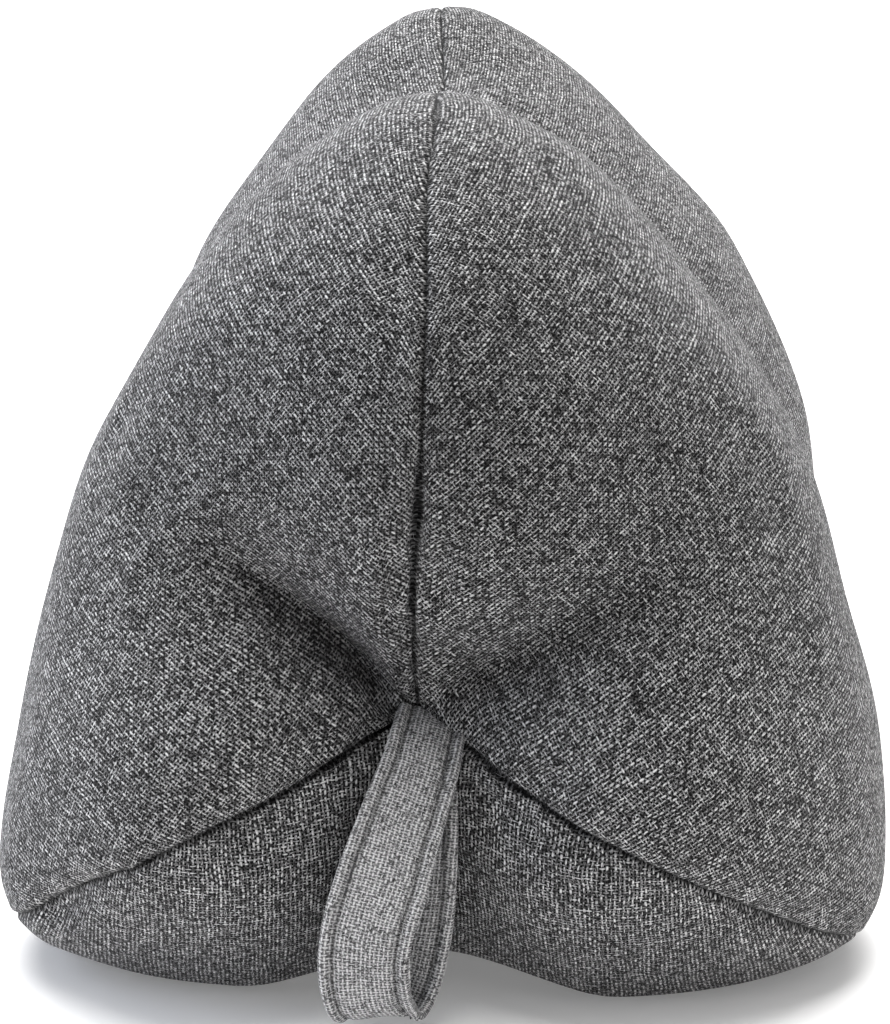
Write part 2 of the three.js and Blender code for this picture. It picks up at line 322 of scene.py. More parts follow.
    def thread_height(
        self,
        tree: bpy.types.NodeTree,
        along: bpy.types.NodeSocket,
        across: bpy.types.NodeSocket,
        number: bpy.types.NodeSocket,
        phase: float,
    ) -> bpy.types.Node:
        """Adds the nodes for one set of threads' heights: round threads that rise and dive in turn.

        Args:
            tree: The material's tree.
            along: The place along a thread, in pitches.
            across: The place across the threads, in pitches.
            number: The thread's number.
            phase: 0 or 1, so that one set is up where the other is down.

        Returns:
            The node whose output is the height, from 0 to 1.
        """
        start = add_node(tree, "ShaderNodeMath", number, phase - 0.5, operation="ADD")
        angle = add_node(tree, "ShaderNodeMath", along, start, operation="ADD")
        angle = add_node(tree, "ShaderNodeMath", angle, math.pi, operation="MULTIPLY")
        wave = add_node(tree, "ShaderNodeMath", angle, operation="COSINE")
        wave = add_node(tree, "ShaderNodeMapRange", wave, -1.0, 1.0, 0.0, 1.0)
        within = add_node(tree, "ShaderNodeMath", across, number, operation="SUBTRACT")
        within = add_node(tree, "ShaderNodeMath", within, math.pi, operation="MULTIPLY")
        round_ = add_node(tree, "ShaderNodeMath", within, operation="SINE", use_clamp=True)
        round_ = add_node(tree, "ShaderNodeMath", round_, self.thinness, operation="POWER")
        wave = add_node(tree, "ShaderNodeMath", wave, self.float_length, operation="POWER")
        return add_node(tree, "ShaderNodeMath", wave, round_, operation="MULTIPLY")

    def thread_tone(
        self,
        tree: bpy.types.NodeTree,
        yarn: Yarn,
        along: bpy.types.NodeSocket,
        across: bpy.types.NodeSocket,
        number: bpy.types.NodeSocket,
    ) -> bpy.types.Node:
        """Adds the nodes for one set of threads' tones.

        Args:
            tree: The material's tree.
            yarn: Which set of threads.
            along: The place along a thread, in millimetres.
            across: The place across the threads, in millimetres.
            number: The thread's number.

        Returns:
            The node whose first output is the tone, from 0 for dark to 1 for light.
        """
        run = add_node(tree, "ShaderNodeMath", along, 1 / self.streak, operation="MULTIPLY")
        own = add_node(tree, "ShaderNodeMath", number, 7.31, operation="MULTIPLY")
        own = add_node(tree, "ShaderNodeMath", own, 311.0 * yarn.value, operation="ADD")
        where = add_node(tree, "ShaderNodeCombineXYZ", run, own)
        noise = add_node(
            tree, "ShaderNodeTexNoise", in_Vector=where, in_Scale=1.0, in_Detail=3.0, in_Roughness=0.75
        )
        base = self.warp_tone if yarn is Yarn.WARP else self.weft_tone
        half = self.tone_spread / 2
        varied = add_node(tree, "ShaderNodeMapRange", noise.outputs[0], 0.0, 1.0, base - half, base + half)
        # Fibres: fine light and dark lines along the thread.
        hair = add_node(tree, "ShaderNodeCombineXYZ", along, across, 17.0 * yarn.value)
        slim = (1.0, self.fibre_slimness, 1.0)
        hair = add_node(tree, "ShaderNodeVectorMath", hair, slim, operation="MULTIPLY")
        hair = add_node(
            tree, "ShaderNodeTexNoise", in_Vector=hair, in_Scale=1.0, in_Detail=1.0, in_Roughness=0.5
        )
        fine = add_node(
            tree, "ShaderNodeMapRange", hair.outputs[0], 0.0, 1.0, -self.fibre / 2, self.fibre / 2
        )
        varied = add_node(tree, "ShaderNodeMath", varied, fine, operation="ADD")
        # A slub: now and then a thread is thick and pale for a few millimetres.
        far = add_node(tree, "ShaderNodeVectorMath", where, (0.3, 1.0, 1.0), operation="MULTIPLY")
        slub = add_node(tree, "ShaderNodeTexNoise", in_Vector=far, in_Scale=1.0, in_Detail=1.0)
        slub = add_node(tree, "ShaderNodeMapRange", slub.outputs[0], 0.62, 0.72, 0.0, self.slub)
        return add_node(tree, "ShaderNodeMath", varied, slub, operation="ADD")


@dataclass(frozen=True)
class SewingThread:
    """Spun polyester sewing thread, twisted from two strands: a smooth dull cord, darker than the cloth."""

    name: str = "sewing_thread"
    colour: str = "#4A4A4D"
    shade: str = "#2C2C2F"
    roughness: float = 0.6
    twist: float = 0.35  # mm from strand to strand

    def material(self) -> bpy.types.Material:
        """Builds the thread's material, with its twist as fine slanted bands.

        Returns:
            The material.
        """
        made, tree = new_material(self.name)
        where = add_node(tree, "ShaderNodeTexCoord")
        bands = add_node(
            tree,
            "ShaderNodeTexWave",
            in_Vector=where.outputs["Object"],
            in_Scale=1 / (self.twist * MM) / 3,
            in_Distortion=1.5,
            bands_direction="DIAGONAL",
        )
        ramp = add_node(tree, "ShaderNodeValToRGB", bands.outputs["Fac"])
        ramp.color_ramp.elements[0].color = srgb(self.shade)
        ramp.color_ramp.elements[1].color = srgb(self.colour)
        thread = add_node(tree, "ShaderNodeBsdfPrincipled", in_Base_Color=ramp, in_Roughness=self.roughness)
        add_node(tree, "ShaderNodeOutputMaterial", thread)
        return made


@dataclass(frozen=True)
class StudioSheet:
    """A matt sheet of the studio.

    White acrylic, faintly lit from below, is the floor: even and bright, it shows the eye only the soft
    shadow. Black flock takes light away from the camera's side, and no picture shows it.
    """

    name: str = "white_acrylic_sheet"
    colour: str = "#FCFBFA"
    glow: float = 0.17  # the light that comes through the sheet
    roughness: float = 0.9

    def material(self) -> bpy.types.Material:
        """Builds the sheet's material, with a trace of grain on its face.

        Returns:
            The material.
        """
        made, tree = new_material(self.name)
        where = add_node(tree, "ShaderNodeTexCoord")
        noise = add_node(tree, "ShaderNodeTexNoise", in_Vector=where.outputs["Object"], in_Scale=900.0)
        bump = add_node(
            tree, "ShaderNodeBump", in_Strength=0.1, in_Distance=0.1 * MM, in_Height=noise.outputs[0]
        )
        sheet = add_node(
            tree,
            "ShaderNodeBsdfPrincipled",
            in_Base_Color=srgb(self.colour),
            in_Roughness=self.roughness,
            in_Normal=bump,
        )
        sheet.inputs["Emission Color"].default_value = srgb("#FFFFFF")
        sheet.inputs["Emission Strength"].default_value = self.glow
        add_node(tree, "ShaderNodeOutputMaterial", sheet)
        return made


@dataclass(frozen=True)
class Section:
    """One section of the pillow. Lengths in millimetres.

    along is measured from the middle of the pillow, seam from the middle line to a seam. crown says how far
    a panel's middle stands from the middle line, as a share of seam. notch is how far the panel's middle
    sits back from the seam, which makes the crease between two lobes.
    """

    along: float
    seam: float
    crown: float
    notch: float


@dataclass(frozen=True)
class Panel:
    """One cut panel of the cover, and the seam along its first edge. Angles in degrees round the middle line.

    grain is the angle on the flat cloth between the panel's length and the lengthwise threads.
    """

    name: str
    seam_angle: float
    near_bow: float
    crown: float
    near_crease: float
    far_crease: float
    grain: float = 0.0


@dataclass(frozen=True)
class Dent:
    """A crease, pucker or swell in the filled cloth, along a short path on its surface. Millimetres.

    path holds points in the picture's own order, from where it is deepest to where it dies away. depth is
    negative where the cloth swells out. toward is the way it goes, when that isn't straight in.
    """

    path: tuple[tuple[float, float, float], ...]
    depth: float
    width: float
    fade: float = 0.0  # how much of the depth is left at the path's end
    toward: tuple[float, float, float] | None = None
    pinned: bool = True  # it leaves the point where the seams meet where it is


@dataclass
class BoneForm:
    """The filled form: its middle line lies along Y, and each end swells into three lobes."""

    seam_radius: float = 95.5
    waist_radius: float = 62.0
    fat_at: float = 97.5
    lobe_tip: float = 61.0
    meeting_point: float = 40.0
    middle_height: float = 62.5
    tallness: float = 1.052
    floor_rounding: float = 3.0
    near_twist: float = -0.9
    far_twist: float = 3.5
    meeting_point_drop: tuple[float, float] = (-4.2, -5.5)
    drop_reach: float = 0.45
    ridge_rounding: float = 0.29
    crease_sharpness: float = 1.4
    arch_height: float = 7.5
    arch_width: float = 0.55
    arch_start: float = 102.0
    arch_fade: float = 40.0
    panels: tuple[Panel, ...] = (
        Panel("left", 91.5, 0, 1.05, 1.35, 1, -11),
        Panel("base", 212, -4, 1.023, 1.05, 1),
        Panel("right", 326, 1.5, 1.055, 0.75, 1, 11),
    )
    near_swelling: tuple[float, ...] = (-1.5, 0.5, 2, 1, 2, 0.5, -2, 2, -1, 0, -0.5, 1)
    far_swelling: tuple[float, ...] = (3, 2.5, -2, -0.5, 1.5, 3.5, 0, 0, 0, 0, 0, 0)

    def half(self) -> list[Section]:
        """The sections of one half.

        Returns:
            The sections from the waist, out over the lobe's tip and in to the point where the seams meet.
        """
        fat, seam, tip = self.fat_at, self.seam_radius, self.lobe_tip
        return [
            Section(0, self.waist_radius, 0.82, 0),
            Section(fat * 0.36, self.waist_radius * 1.045, 0.815, 0),
            Section(fat * 0.7, seam * 0.865, 0.785, 0),
            Section(fat, seam, 0.731, 0),
            Section(fat + tip * 0.52, seam * 0.934, 0.731, 3),
            Section(fat + tip * 0.855, seam * 0.727, 0.735, 9),
            Section(fat + tip, seam * 0.49, 0.72, 14),
            Section(fat + tip * 0.885, seam * 0.23, 0.7, 10),
            Section(fat + self.meeting_point, 0, 0.7, 0),
        ]

    def rows(self, shares: np.ndarray) -> tuple[np.ndarray, ...]:
        """Sections at shares of the seam's length, from the near end to the far one.

        Args:
            shares: Places along the seam, from 0 to 1.

        Returns:
            seam, along, crown and notch, each an array with a row for each share.
        """
        half = self.half()
        whole = [Section(-s.along, s.seam, s.crown, s.notch) for s in half[:0:-1]] + half
        table = np.array([[s.seam, s.along, s.crown, s.notch] for s in whole])
        fine = np.linspace(0, 1, 4001)
        line = spline(table[:, :2], fine)
        steps = np.linalg.norm(np.diff(line, axis=0), axis=1)
        length = np.concatenate([[0], np.cumsum(steps)])
        values = spline(table, np.interp(shares, length / length[-1], fine))
        return tuple(values[:, k : k + 1] for k in range(4))

    def swelling(self, degrees: np.ndarray, near: np.ndarray) -> np.ndarray:
        """How far the stuffed ends swell past the pattern's even shape.

        Args:
            degrees: Angles round the middle line.
            near: Whether each place belongs to the near end.

        Returns:
            The factor by which the distance from the middle line grows.
        """
        row = np.mod(degrees, 360) / 30
        i = np.floor(row).astype(int) % 12
        share = np.sin(math.pi / 2 * (row - np.floor(row))) ** 2
        tables = np.array(self.near_swelling), np.array(self.far_swelling)
        ends = [t[i] * (1 - share) + t[(i + 1) % 12] * share for t in tables]
        return 1 + np.where(near, *ends) / 100

    def points(self, number: int, shares: np.ndarray, sides: np.ndarray) -> np.ndarray:
        """Points of one panel.

        Args:
            number: The panel's place in panels.
            shares: Places along the seam, from 0 at the near end to 1.
            sides: Places across the panel, from -1 at its first seam to 1 at its second.

        Returns:
            An array of shares by sides by 3, in millimetres.
        """
        panel, following = self.panels[number], self.panels[(number + 1) % len(self.panels)]
        seam, along, crown, notch = self.rows(shares)
        seam = np.maximum(seam, 0)
        side = sides[None, :]
        near = along < 0
        middle = seam * crown * panel.crown
        sharp = np.abs(side) ** 2.06
        rounded = np.sin(math.pi / 2 * np.abs(side)) ** 2.9
        ridge = (1 - self.ridge_rounding) * sharp + self.ridge_rounding * rounded
        out = middle + (seam - middle) * ridge
        crease = np.where(near, panel.near_crease, panel.far_crease)
        level = np.sin(math.pi / 2 * np.abs(side)) ** self.crease_sharpness
        y = along - np.sign(along) * notch * crease * (1 - level)
        end = np.clip((y / (self.fat_at + self.lobe_tip) + 1) / 2, 0, 1)
        bow = np.where(near, np.sin(math.pi * seam / self.seam_radius), 0)
        turn = 0 if following.seam_angle > panel.seam_angle else 360
        first = panel.seam_angle + panel.near_bow * bow
        second = following.seam_angle + turn + following.near_bow * bow
        degrees = (first + second) / 2 + side * (second - first) / 2
        degrees = degrees + self.near_twist + (self.far_twist - self.near_twist) * end
        swollen = smoothstep(np.abs(along), 0, self.fat_at)
        out = out * (1 + (self.swelling(degrees, near) - 1) * swollen)
        drop = np.where(near, np.exp(-((seam / self.seam_radius / self.drop_reach) ** 2)), 0)
        angle = np.radians(degrees)
        height = self.middle_height + self.tallness * out * np.sin(angle) + self.meeting_point_drop[1] * drop
        z = self.pressed(height)
        if panel.name == "base":
            across = np.maximum(0, 1 - (side / self.arch_width) ** 2) ** 2
            lengthwise = smoothstep(np.abs(y), self.arch_start, self.fat_at + self.lobe_tip * 0.55)
            z = z + self.arch_height * across * lengthwise * (1 - smoothstep(height, 0, self.arch_fade))
        x = out * np.cos(angle) + self.meeting_point_drop[0] * drop
        return np.stack(np.broadcast_arrays(x, y, z), axis=-1) + CENTRING

    def pressed(self, height: np.ndarray) -> np.ndarray:
        """Heights pressed against the surface: flat below it, and softly rounded where they leave it."""
        r = self.floor_rounding
        return np.where(height <= -r, 0, np.where(height >= r, height, (height + r) ** 2 / (4 * r)))


@dataclass
class Grid:
    """The cover's mesh steps: rows from end to end, and columns round it that crowd towards the seams."""

    rows: int
    half_columns: int
    crowding: float = 1.5
    panels: int = 3

    @property
    def columns(self) -> int:
        """Columns all the way round."""
        return 2 * self.half_columns * self.panels

    def shares(self) -> np.ndarray:
        """The rows' places along the seam."""
        return np.linspace(0, 1, self.rows)

    def steps(self) -> np.ndarray:
        """The columns' even steps across one panel, from -1 to 1, both seams included."""
        return np.linspace(-1, 1, 2 * self.half_columns + 1)

    def sides(self) -> np.ndarray:
        """The columns' places across one panel, crowded towards the seams."""
        steps = self.steps()
        return np.sign(steps) * (1 - (1 - np.abs(steps)) ** self.crowding)

    def steps_at(self, sides: np.ndarray) -> np.ndarray:
        """The reverse of sides: the even steps at given places across a panel."""
        return np.sign(sides) * (1 - (1 - np.abs(sides)) ** (1 / self.crowding))

    def faces(self) -> list[tuple[int, ...]]:
        """Lists the closed mesh's faces, which face outwards.

        Returns:
            A fan of triangles at the near pole, the quads row by row, and a fan at the far pole.
        """
        n, last = self.columns, (self.rows - 2) * self.columns
        made = []
        for c in range(n):
            made.append((last, c, (c + 1) % n))
        for r in range(self.rows - 3):
            for c in range(n):
                a, b = r * n + c, r * n + (c + 1) % n
                made.append((a, a + n, b + n, b))
        top = (self.rows - 3) * n
        for c in range(n):
            made.append((last + 1, top + (c + 1) % n, top + c))
        return made

    def vertices(self, points: np.ndarray) -> np.ndarray:
        """Lists a grid's points as the closed mesh's vertices: its rows, then its two poles."""
        poles = [points[0].mean(axis=0), points[-1].mean(axis=0)]
        return np.concatenate([points[1:-1].reshape(-1, points.shape[-1]), poles])

    def from_vertices(self, vertices: np.ndarray) -> np.ndarray:
        """The reverse of vertices.

        Args:
            vertices: The closed mesh's vertices, with its two poles last.

        Returns:
            The grid of points, with each pole repeated all the way round.
        """
        body = vertices[:-2].reshape(self.rows - 2, self.columns, 3)
        ends = [np.repeat(vertices[k][None, None], self.columns, axis=1) for k in (-2, -1)]
        return np.concatenate([ends[0], body, ends[1]])


@dataclass
class Cover:
    """The filled cover: three bone-shaped panels sewn edge to edge, tight over the filling. Millimetres."""

    form: BoneForm = field(default_factory=BoneForm)
    grid: Grid = field(default_factory=lambda: Grid(rows=300, half_columns=40, crowding=1.8))
    coarse: Grid = field(default_factory=lambda: Grid(rows=100, half_columns=11, crowding=1.1))
    cloth: WovenCloth = field(default_factory=lambda: WovenCloth("melange_plain_weave"))
    meeting: tuple[float, float, float] = (-4.0, -140.0, 58.0)  # where the seams meet, sewn fast to the loop
    seam_depth: float = 1.0
    seam_width: float = 0.75
    seam_light: float = 0.2  # the share of light that reaches the bottom of a seam
    pucker_height: float = 0.22
    pucker_pitch: float = 6.5
    pucker_reach: float = 4.5
    unevenness: float = 0.5
    pole_reach: float = 12.0  # puckers and unevenness die away over this length before the seams meet
    settling_frames: int = 20
    smoothing_rounds: int = 70  # how often the settled cloth's moves are averaged to find the broad ones
    wrinkle_cap: float = 0.8
    pressure: float = 4.0
    seam_shrink: float = 0.028  # the share by which the seams are shorter than the cloth
    cloth_growth: float = 0.012  # the share by which the cloth between them is larger than the filling
    dents: tuple[Dent, ...] = (
        # The deep crease on the left, the softer one on the right, and the lobes that swell below them.
        Dent(((-12, -138.3, 62.5), (-20, -138.3, 68), (-34, -139.8, 79), (-50, -136.4, 90)), 3.4, 14.0, 0.5),
        Dent(((-12, -138.3, 63.0), (-20, -138.3, 69), (-34, -139.8, 80), (-50, -136.4, 90)), 3.8, 4.6, 0.15),
        Dent(((8, -142.8, 62), (22, -147.4, 70), (36, -148, 79), (46, -144.3, 87)), 4.6, 15.0, 0.5),
        Dent(((8, -142.8, 63), (22, -147.4, 71), (36, -148, 80), (46, -144.3, 88)), 2.6, 4.8, 0.2),
        Dent(((-52, -153, 45), (-28, -155, 48)), 4.2, 18.0, 0.8, (0, -1, 0.15)),
        Dent(((54, -154, 45), (28, -157, 46)), 4.2, 18.0, 0.8, (0, -1, 0.15)),
        # Puckers at the lower left corner, where the seams pull.
        Dent(((-71.5, -139, 17.5), (-66.6, -144.9, 21.8), (-58, -152, 28.5)), 2.0, 3.4),
        Dent(((-60, -150.5, 30), (-51, -156, 36), (-42, -158.5, 40)), -0.7, 3.5, 0.3),
        # The seam's lip hangs over the loop's root.
        Dent(
            ((-9, -140.5, 58.5), (-3, -140.8, 57), (3.5, -141.5, 53)),
            2.2,
            4.0,
            0.8,
            (0.25, -0.6, -0.76),
            pinned=False,
        ),
        # Where the filling sits a little off the pattern's even shape.
        Dent(((0, -118, 162), (0, -95, 162)), 1.9, 14.0, 0.8, (1, 0, 0)),
        Dent(((23, -114, 151), (25, -100, 152)), 1.5, 11.0, 0.5, (0.55, 0, 0.83)),
        Dent(((-79, -126, 13), (-77, -108, 11)), 1.8, 13.0, 0.6, (-0.8, 0, -0.5)),
        Dent(((83, 96, 50), (82, 108, 54)), 1.4, 14.0, 0.8, (-1, 0, 0)),
        Dent(((-82, -120, 42), (-80, -132, 40)), 1.4, 18.0, 0.8, (1, 0, 0)),
        Dent(((79, -126, 12), (77, -108, 11)), 2.2, 12.0, 0.6, (0.8, 0, -0.4)),
    )

    def panels(self, grid: Grid) -> list[np.ndarray]:
        """Each panel's points on a grid, both its seams included."""
        return [self.form.points(k, grid.shares(), grid.sides()) for k in range(grid.panels)]

    def joined(self, panels: list[np.ndarray]) -> np.ndarray:
        """Joins panels round the pillow, each without its second seam, which the next one starts with."""
        return np.concatenate([p[:, :-1] for p in panels], axis=1)

    def settled(self) -> np.ndarray:
        """Lets the cloth settle over the filling, with seams a little shorter than the panels.

        Returns:
            How far each point of the coarse grid moves in wrinkles and puckers, in millimetres. The form's
            own roundness is left as it is.
        """
        grid = self.coarse
        start = self.joined(self.panels(grid))
        cloth = make_mesh("settling_cloth", grid.vertices(start), grid.faces())
        seams = cloth.vertex_groups.new(name="seams")
        per_panel = 2 * grid.half_columns
        for r in range(grid.rows - 2):
            for k in range(grid.panels):
                seams.add([r * grid.columns + k * per_panel], 1.0, "REPLACE")
        modifier = cloth.modifiers.new("cloth", "CLOTH")
        feel = modifier.settings
        feel.quality = 6
        feel.mass = 0.2
        feel.tension_stiffness = feel.compression_stiffness = 25
        feel.shear_stiffness = 8
        feel.bending_stiffness = 0.4
        feel.use_pressure = True
        feel.uniform_pressure_force = self.pressure
        feel.vertex_group_shrink = "seams"
        feel.shrink_min = -self.cloth_growth
        feel.shrink_max = self.seam_shrink
        feel.effector_weights.gravity = 0
        modifier.collision_settings.use_collision = False
        scene = bpy.context.scene
        last = self.settling_frames
        scene.frame_start, scene.frame_end = 1, last
        modifier.point_cache.frame_start, modifier.point_cache.frame_end = 1, last
        for number in range(1, last + 1):
            scene.frame_set(number)
        shown = cloth.evaluated_get(bpy.context.evaluated_depsgraph_get())
        ends = np.empty(len(shown.data.vertices) * 3, np.float32)
        shown.data.vertices.foreach_get("co", ends)
        scene.frame_set(1)
        bpy.data.objects.remove(cloth)
        return grid.from_vertices(ends.reshape(-1, 3) / MM) - start

    def wrinkles(self, moved: np.ndarray) -> np.ndarray:
        """Keeps what is finer than the form from the settled cloth, and caps it.

        Args:
            moved: How far each point of the coarse grid moved.

        Returns:
            The same grid of moves, with the broad ones taken away.
        """
        broad = moved.copy()
        for _ in range(self.smoothing_rounds):
            rolled = np.roll(broad, 1, axis=1) + np.roll(broad, -1, axis=1)
            broad[1:-1] = (broad[:-2] + broad[2:] + rolled[1:-1] + 2 * broad[1:-1]) / 6
        fine = moved - broad
        size = np.linalg.norm(fine, axis=-1, keepdims=True)
        return fine * np.minimum(1, self.wrinkle_cap / np.maximum(size, 1e-9))

    def resampled(self, values: np.ndarray) -> np.ndarray:
        """Carries values on the coarse grid over to the fine one.

        Args:
            values: An array of coarse rows by coarse columns by any number of values.

        Returns:
            The same on the fine grid.
        """
        coarse, fine = self.coarse, self.grid
        rows = spline(values.reshape(coarse.rows, -1), fine.shares()).reshape(fine.rows, coarse.columns, -1)
        edge = 4
        wrapped = np.concatenate([rows[:, -edge:], rows, rows[:, :edge]], axis=1)
        per_coarse = 2 * coarse.half_columns
        place = (coarse.steps_at(fine.sides())[:-1] + 1) / 2 * per_coarse
        place = np.concatenate([place + k * per_coarse for k in range(fine.panels)])
        t = (place + edge) / (wrapped.shape[1] - 1)
        across = spline(np.moveaxis(wrapped, 1, 0).reshape(wrapped.shape[1], -1), t)
        return across.reshape(fine.columns, fine.rows, -1).transpose(1, 0, 2)

    def normals(self, points: np.ndarray) -> np.ndarray:
        """The directions that point out of the surface.

        Args:
            points: The grid's points.

        Returns:
            A direction of length 1 for each point.
        """
        round_ = np.roll(points, -1, axis=1) - np.roll(points, 1, axis=1)
        along = np.gradient(points, axis=0)
        made = unit(np.cross(along, round_))
        for _ in range(2):
            made = unit(made + np.roll(made, 1, axis=1) + np.roll(made, -1, axis=1))
        made[0], made[-1] = unit(made[1].mean(axis=0)), unit(made[-2].mean(axis=0))
        return made

    def seam_distance(self, points: np.ndarray) -> np.ndarray:
        """How far the points lie from the nearest seam, along their rows.

        Args:
            points: The grid's points.

        Returns:
            A distance for each point, in millimetres.
        """
        steps = np.linalg.norm(np.roll(points, -1, axis=1) - points, axis=-1)
        per_panel = 2 * self.grid.half_columns
        made = np.zeros(steps.shape)
        for k in range(self.grid.panels):
            part = steps[:, k * per_panel : (k + 1) * per_panel]
            forward = np.concatenate([np.zeros((len(part), 1)), np.cumsum(part, axis=1)[:, :-1]], axis=1)
            made[:, k * per_panel : (k + 1) * per_panel] = np.minimum(
                forward, part.sum(axis=1, keepdims=True) - forward
            )
        return made

    def dented(self, points: np.ndarray, normals: np.ndarray) -> np.ndarray:
        """Presses the dents into the surface, each as a soft trough along its path.

        Args:
            points: The grid's points.
            normals: The directions out of the surface there.

        Returns:
            The moved points.
        """
        moved = points.copy()
        meeting = np.array(self.meeting) + CENTRING
        pinned = smoothstep(np.linalg.norm(points - meeting, axis=-1), 0, 14)
        for dent in self.dents:
            path = np.array(dent.path) + CENTRING
            lengths = np.concatenate([[0], np.cumsum(np.linalg.norm(np.diff(path, axis=0), axis=1))])
            nearest = np.full(points.shape[:2], np.inf)
            run = np.zeros(points.shape[:2])
            for a, b, start in zip(path[:-1], path[1:], lengths):
                line = b - a
                t = np.clip(((points - a) @ line) / (line @ line), 0, 1)
                far = np.linalg.norm(points - (a + t[..., None] * line), axis=-1)
                closer = far < nearest
                nearest = np.where(closer, far, nearest)
                run = np.where(closer, start + t * np.linalg.norm(line), run)
            share = run / lengths[-1]
            depth = dent.depth * (1 - (1 - dent.fade) * smoothstep(share, 0.15, 1.0))
            inward = dent.toward or -normals[nearest < dent.width].mean(axis=0)
            if dent.pinned:
                depth *= pinned
            moved += unit(np.array(inward)) * (depth * np.exp(-((nearest / dent.width) ** 2)))[..., None]
        return moved

    def flat_cloth(self) -> list[np.ndarray]:
        """Lays each panel out flat as it was cut, with its length along U.

        Returns:
            For each panel, the fine grid's places on the flat cloth in millimetres, both seams included.
        """
        grid = self.coarse
        made = []
        for number, points in enumerate(self.panels(grid)):
            rows, columns = points.shape[:2]
            faces = [
                (r * columns + c, (r + 1) * columns + c, (r + 1) * columns + c + 1, r * columns + c + 1)
                for r in range(1, rows - 2)
                for c in range(columns - 1)
            ]
            flat = make_mesh("cut_panel", points.reshape(-1, 3), faces)
            flat.data.uv_layers.new(name="cut")
            bpy.context.view_layer.objects.active = flat
            flat.select_set(True)
            bpy.ops.object.mode_set(mode="EDIT")
            bpy.ops.mesh.select_all(action="SELECT")
            bpy.ops.uv.unwrap(method="MINIMUM_STRETCH", margin=0.0, iterations=40)
            bpy.ops.object.mode_set(mode="OBJECT")
            corners = np.empty(len(flat.data.loops) * 2, np.float32)
            flat.data.uv_layers["cut"].data.foreach_get("uv", corners)
            owners = np.empty(len(flat.data.loops), np.int32)
            flat.data.loops.foreach_get("vertex_index", owners)
            cut = np.zeros((rows * columns, 2))
            cut[owners] = corners.reshape(-1, 2)
            cut = cut.reshape(rows, columns, 2)
            cut[0], cut[-1] = self.tip(cut, points), self.tip(cut[::-1], points[::-1])
            bpy.data.objects.remove(flat)
            made.append(self.squared(cut, points, number))
        return made

    def tip(self, cut: np.ndarray, points: np.ndarray) -> np.ndarray:
        """Finds where a laid-out panel's tip lies from the two rows next to it.

        Args:
            cut: The panel's places on the flat cloth, from the tip on.
            points: Its points in space, in the same order.

        Returns:
            The tip's place on the flat cloth.
        """
        first = np.linalg.norm(points[1] - points[0], axis=-1)
        second = np.linalg.norm(points[2] - points[1], axis=-1)
        return (cut[1] + (cut[1] - cut[2]) * (first / second)[:, None]).mean(axis=0)

    def squared(self, cut: np.ndarray, points: np.ndarray, number: int) -> np.ndarray:
        """Turns a laid-out panel so that its length runs along U, gives it its real size and refines it.

        Args:
            cut: The coarse panel's places on the flat cloth, at any scale and turn.
            points: The coarse panel's points, in millimetres.
            number: The panel's place in the form.

        Returns:
            The fine grid's places on the flat cloth, in millimetres.
        """
        half = self.coarse.half_columns
        rows = len(cut)
        line = cut[rows - 3, half] - cut[2, half]
        turn = np.array([[line[0], line[1]], [-line[1], line[0]]]) / np.linalg.norm(line)
        grain = math.radians(self.form.panels[number].grain)
        skew = np.array([[math.cos(grain), math.sin(grain)], [-math.sin(grain), math.cos(grain)]])
        turned = cut @ turn.T @ skew.T
        inner = slice(rows // 4, 3 * rows // 4)
        real = np.linalg.norm(np.diff(points[inner], axis=0), axis=-1).sum()
        laid = np.linalg.norm(np.diff(turned[inner], axis=0), axis=-1).sum()
        turned = (turned - turned[rows // 2, half]) * real / laid + 500.0 * (number + 1)
        coarse, fine = self.coarse, self.grid
        lengthwise = spline(turned.reshape(rows, -1), fine.shares()).reshape(fine.rows, -1, 2)
        t = (coarse.steps_at(fine.sides()) + 1) / 2
        across = spline(lengthwise.transpose(1, 0, 2).reshape(lengthwise.shape[1], -1), t)
        return across.reshape(len(t), fine.rows, 2).transpose(1, 0, 2)

    def corner_uv(self, flat: list[np.ndarray]) -> np.ndarray:
        """Lists the flat cloth's places in the order of the grid's faces.

        Args:
            flat: Each panel's places on the flat cloth.

        Returns:
            A row for each face corner.
        """
        grid = self.grid
        per_panel = 2 * grid.half_columns
        made = []
        for c in range(grid.columns):
            k, i = divmod(c, per_panel)
            made += [flat[k][0, i], flat[k][1, i], flat[k][1, i + 1]]
        for r in range(1, grid.rows - 2):
            for k in range(grid.panels):
                f = flat[k]
                quads = np.stack([f[r, :-1], f[r + 1, :-1], f[r + 1, 1:], f[r, 1:]], axis=1)
                made.append(quads.reshape(-1, 2))
        for c in range(grid.columns):
            k, i = divmod(c, per_panel)
            made += [flat[k][-1, i], flat[k][-2, i + 1], flat[k][-2, i]]
        return np.concatenate([np.atleast_2d(m) for m in made])

